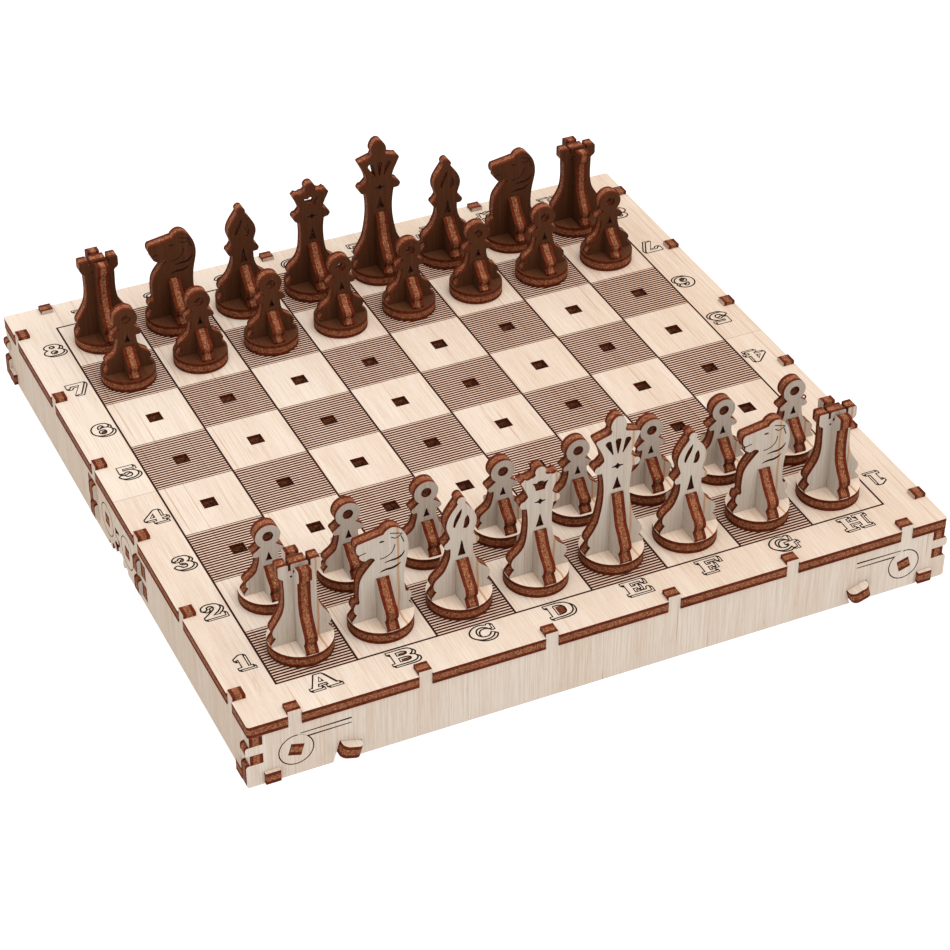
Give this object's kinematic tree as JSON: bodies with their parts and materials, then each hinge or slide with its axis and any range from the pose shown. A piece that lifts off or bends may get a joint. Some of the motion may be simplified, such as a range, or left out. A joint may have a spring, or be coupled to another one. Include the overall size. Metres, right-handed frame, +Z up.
{
  "type": "chess set with folding board",
  "caption": "Folding plywood chess board with peg holes, geared side hinges and thumb latches, carrying its men, each slotted together from flat cut plates.",
  "frame": {"origin": "under the middle of the open board, on the surface its rim stands on", "axes": "+X along the files row from file a to file h, +Y from the white side to the black side, +Z up out of the playing surface"},
  "size_m": [0.2212, 0.2248, 0.0719],
  "materials": {
    "birch_plywood": "bare sanded birch plywood with browned cut edges",
    "dark_stained_plywood": "dark brown stained plywood with browned cut edges"
  },
  "bodies": {
    "near_half": {"top_plate_near": "birch_plywood", "front_wall": "birch_plywood", "side_wall_near_left": "birch_plywood", "side_wall_near_right": "birch_plywood", "inner_walls_near": "birch_plywood", "corner_braces_near": "birch_plywood"},
    "far_half": {"top_plate_far": "birch_plywood", "back_wall": "birch_plywood", "side_wall_far_left": "birch_plywood", "side_wall_far_right": "birch_plywood", "inner_walls_far": "birch_plywood", "corner_braces_far": "birch_plywood"},
    "hinge_link_left": {"hinge_link_left": "birch_plywood", "hinge_discs_left": "birch_plywood", "hinge_pegs_left": "birch_plywood"},
    "hinge_link_right": {"hinge_link_right": "birch_plywood", "hinge_discs_right": "birch_plywood", "hinge_pegs_right": "birch_plywood"},
    "latch_near_left": {"latch_lever_near_left": "birch_plywood", "thumb_tab_near_left": "birch_plywood"},
    "latch_near_right": {"latch_lever_near_right": "birch_plywood", "thumb_tab_near_right": "birch_plywood"},
    "latch_far_left": {"latch_lever_far_left": "birch_plywood", "thumb_tab_far_left": "birch_plywood"},
    "latch_far_right": {"latch_lever_far_right": "birch_plywood", "thumb_tab_far_right": "birch_plywood"},
    "black_bishop_c": {"black_bishop_c": "dark_stained_plywood"},
    "black_bishop_f": {"black_bishop_f": "dark_stained_plywood"},
    "black_king_e": {"black_king_e": "dark_stained_plywood"},
    "black_knight_b": {"black_knight_b": "dark_stained_plywood"},
    "black_knight_g": {"black_knight_g": "dark_stained_plywood"},
    "black_pawn_a": {"black_pawn_a": "dark_stained_plywood"},
    "black_pawn_b": {"black_pawn_b": "dark_stained_plywood"},
    "black_pawn_c": {"black_pawn_c": "dark_stained_plywood"},
    "black_pawn_d": {"black_pawn_d": "dark_stained_plywood"},
    "black_pawn_e": {"black_pawn_e": "dark_stained_plywood"},
    "black_pawn_f": {"black_pawn_f": "dark_stained_plywood"},
    "black_pawn_g": {"black_pawn_g": "dark_stained_plywood"},
    "black_pawn_h": {"black_pawn_h": "dark_stained_plywood"},
    "black_queen_d": {"black_queen_d": "dark_stained_plywood"},
    "black_rook_a": {"black_rook_a": "dark_stained_plywood"},
    "black_rook_h": {"black_rook_h": "dark_stained_plywood"},
    "white_bishop_c": {"white_bishop_c": "birch_plywood"},
    "white_bishop_f": {"white_bishop_f": "birch_plywood"},
    "white_king_e": {"white_king_e": "birch_plywood"},
    "white_knight_b": {"white_knight_b": "birch_plywood"},
    "white_knight_g": {"white_knight_g": "birch_plywood"},
    "white_pawn_a": {"white_pawn_a": "birch_plywood"},
    "white_pawn_b": {"white_pawn_b": "birch_plywood"},
    "white_pawn_c": {"white_pawn_c": "birch_plywood"},
    "white_pawn_d": {"white_pawn_d": "birch_plywood"},
    "white_pawn_e": {"white_pawn_e": "birch_plywood"},
    "white_pawn_f": {"white_pawn_f": "birch_plywood"},
    "white_pawn_g": {"white_pawn_g": "birch_plywood"},
    "white_pawn_h": {"white_pawn_h": "birch_plywood"},
    "white_queen_d": {"white_queen_d": "birch_plywood"},
    "white_rook_a": {"white_rook_a": "birch_plywood"},
    "white_rook_h": {"white_rook_h": "birch_plywood"}
  },
  "joints": [
    {"name": "fold", "type": "hinge", "parent": "near_half", "child": "hinge_link_left", "pos_m": [-0.10355, -0.009, 0.0089], "axis": [-1, 0, 0], "range_deg": [0, 90]},
    {"name": "fold_far_half", "type": "hinge", "parent": "hinge_link_left", "child": "far_half", "pos_m": [-0.10355, 0.009, 0.0089], "axis": [-1, 0, 0], "range_deg": [0, 90]},
    {"name": "fold_right_link", "type": "hinge", "parent": "near_half", "child": "hinge_link_right", "pos_m": [0.10355, -0.009, 0.0089], "axis": [-1, 0, 0], "range_deg": [0, 90]},
    {"name": "press_near_left", "type": "hinge", "parent": "near_half", "child": "latch_near_left", "pos_m": [-0.096, -0.1036, 0.00875], "axis": [0, 1, 0], "range_deg": [0, 4.5], "stiffness_Nm_per_rad": 0.2, "springref_deg": -1.15},
    {"name": "press_near_right", "type": "hinge", "parent": "near_half", "child": "latch_near_right", "pos_m": [0.096, -0.1036, 0.00875], "axis": [0, -1, 0], "range_deg": [0, 4.5], "stiffness_Nm_per_rad": 0.2, "springref_deg": -1.15},
    {"name": "press_far_left", "type": "hinge", "parent": "far_half", "child": "latch_far_left", "pos_m": [-0.096, 0.1036, 0.00875], "axis": [0, 1, 0], "range_deg": [0, 4.5], "stiffness_Nm_per_rad": 0.2, "springref_deg": -1.15},
    {"name": "press_far_right", "type": "hinge", "parent": "far_half", "child": "latch_far_right", "pos_m": [0.096, 0.1036, 0.00875], "axis": [0, -1, 0], "range_deg": [0, 4.5], "stiffness_Nm_per_rad": 0.2, "springref_deg": -1.15},
    {"name": "lift_black_bishop_c", "type": "slide", "parent": "far_half", "child": "black_bishop_c", "axis": [0, 0, 1], "range_m": [0, 0.06]},
    {"name": "lift_black_bishop_f", "type": "slide", "parent": "far_half", "child": "black_bishop_f", "axis": [0, 0, 1], "range_m": [0, 0.06]},
    {"name": "lift_black_king_e", "type": "slide", "parent": "far_half", "child": "black_king_e", "axis": [0, 0, 1], "range_m": [0, 0.06]},
    {"name": "lift_black_knight_b", "type": "slide", "parent": "far_half", "child": "black_knight_b", "axis": [0, 0, 1], "range_m": [0, 0.06]},
    {"name": "lift_black_knight_g", "type": "slide", "parent": "far_half", "child": "black_knight_g", "axis": [0, 0, 1], "range_m": [0, 0.06]},
    {"name": "lift_black_pawn_a", "type": "slide", "parent": "far_half", "child": "black_pawn_a", "axis": [0, 0, 1], "range_m": [0, 0.06]},
    {"name": "lift_black_pawn_b", "type": "slide", "parent": "far_half", "child": "black_pawn_b", "axis": [0, 0, 1], "range_m": [0, 0.06]},
    {"name": "lift_black_pawn_c", "type": "slide", "parent": "far_half", "child": "black_pawn_c", "axis": [0, 0, 1], "range_m": [0, 0.06]},
    {"name": "lift_black_pawn_d", "type": "slide", "parent": "far_half", "child": "black_pawn_d", "axis": [0, 0, 1], "range_m": [0, 0.06]},
    {"name": "lift_black_pawn_e", "type": "slide", "parent": "far_half", "child": "black_pawn_e", "axis": [0, 0, 1], "range_m": [0, 0.06]},
    {"name": "lift_black_pawn_f", "type": "slide", "parent": "far_half", "child": "black_pawn_f", "axis": [0, 0, 1], "range_m": [0, 0.06]},
    {"name": "lift_black_pawn_g", "type": "slide", "parent": "far_half", "child": "black_pawn_g", "axis": [0, 0, 1], "range_m": [0, 0.06]},
    {"name": "lift_black_pawn_h", "type": "slide", "parent": "far_half", "child": "black_pawn_h", "axis": [0, 0, 1], "range_m": [0, 0.06]},
    {"name": "lift_black_queen_d", "type": "slide", "parent": "far_half", "child": "black_queen_d", "axis": [0, 0, 1], "range_m": [0, 0.06]},
    {"name": "lift_black_rook_a", "type": "slide", "parent": "far_half", "child": "black_rook_a", "axis": [0, 0, 1], "range_m": [0, 0.06]},
    {"name": "lift_black_rook_h", "type": "slide", "parent": "far_half", "child": "black_rook_h", "axis": [0, 0, 1], "range_m": [0, 0.06]},
    {"name": "lift_white_bishop_c", "type": "slide", "parent": "near_half", "child": "white_bishop_c", "axis": [0, 0, 1], "range_m": [0, 0.06]},
    {"name": "lift_white_bishop_f", "type": "slide", "parent": "near_half", "child": "white_bishop_f", "axis": [0, 0, 1], "range_m": [0, 0.06]},
    {"name": "lift_white_king_e", "type": "slide", "parent": "near_half", "child": "white_king_e", "axis": [0, 0, 1], "range_m": [0, 0.06]},
    {"name": "lift_white_knight_b", "type": "slide", "parent": "near_half", "child": "white_knight_b", "axis": [0, 0, 1], "range_m": [0, 0.06]},
    {"name": "lift_white_knight_g", "type": "slide", "parent": "near_half", "child": "white_knight_g", "axis": [0, 0, 1], "range_m": [0, 0.06]},
    {"name": "lift_white_pawn_a", "type": "slide", "parent": "near_half", "child": "white_pawn_a", "axis": [0, 0, 1], "range_m": [0, 0.06]},
    {"name": "lift_white_pawn_b", "type": "slide", "parent": "near_half", "child": "white_pawn_b", "axis": [0, 0, 1], "range_m": [0, 0.06]},
    {"name": "lift_white_pawn_c", "type": "slide", "parent": "near_half", "child": "white_pawn_c", "axis": [0, 0, 1], "range_m": [0, 0.06]},
    {"name": "lift_white_pawn_d", "type": "slide", "parent": "near_half", "child": "white_pawn_d", "axis": [0, 0, 1], "range_m": [0, 0.06]},
    {"name": "lift_white_pawn_e", "type": "slide", "parent": "near_half", "child": "white_pawn_e", "axis": [0, 0, 1], "range_m": [0, 0.06]},
    {"name": "lift_white_pawn_f", "type": "slide", "parent": "near_half", "child": "white_pawn_f", "axis": [0, 0, 1], "range_m": [0, 0.06]},
    {"name": "lift_white_pawn_g", "type": "slide", "parent": "near_half", "child": "white_pawn_g", "axis": [0, 0, 1], "range_m": [0, 0.06]},
    {"name": "lift_white_pawn_h", "type": "slide", "parent": "near_half", "child": "white_pawn_h", "axis": [0, 0, 1], "range_m": [0, 0.06]},
    {"name": "lift_white_queen_d", "type": "slide", "parent": "near_half", "child": "white_queen_d", "axis": [0, 0, 1], "range_m": [0, 0.06]},
    {"name": "lift_white_rook_a", "type": "slide", "parent": "near_half", "child": "white_rook_a", "axis": [0, 0, 1], "range_m": [0, 0.06]},
    {"name": "lift_white_rook_h", "type": "slide", "parent": "near_half", "child": "white_rook_h", "axis": [0, 0, 1], "range_m": [0, 0.06]}
  ],
  "couplings": [
    {"joint": "fold_far_half", "follows": "fold", "ratio": 1},
    {"joint": "fold_right_link", "follows": "fold", "ratio": 1}
  ]
}
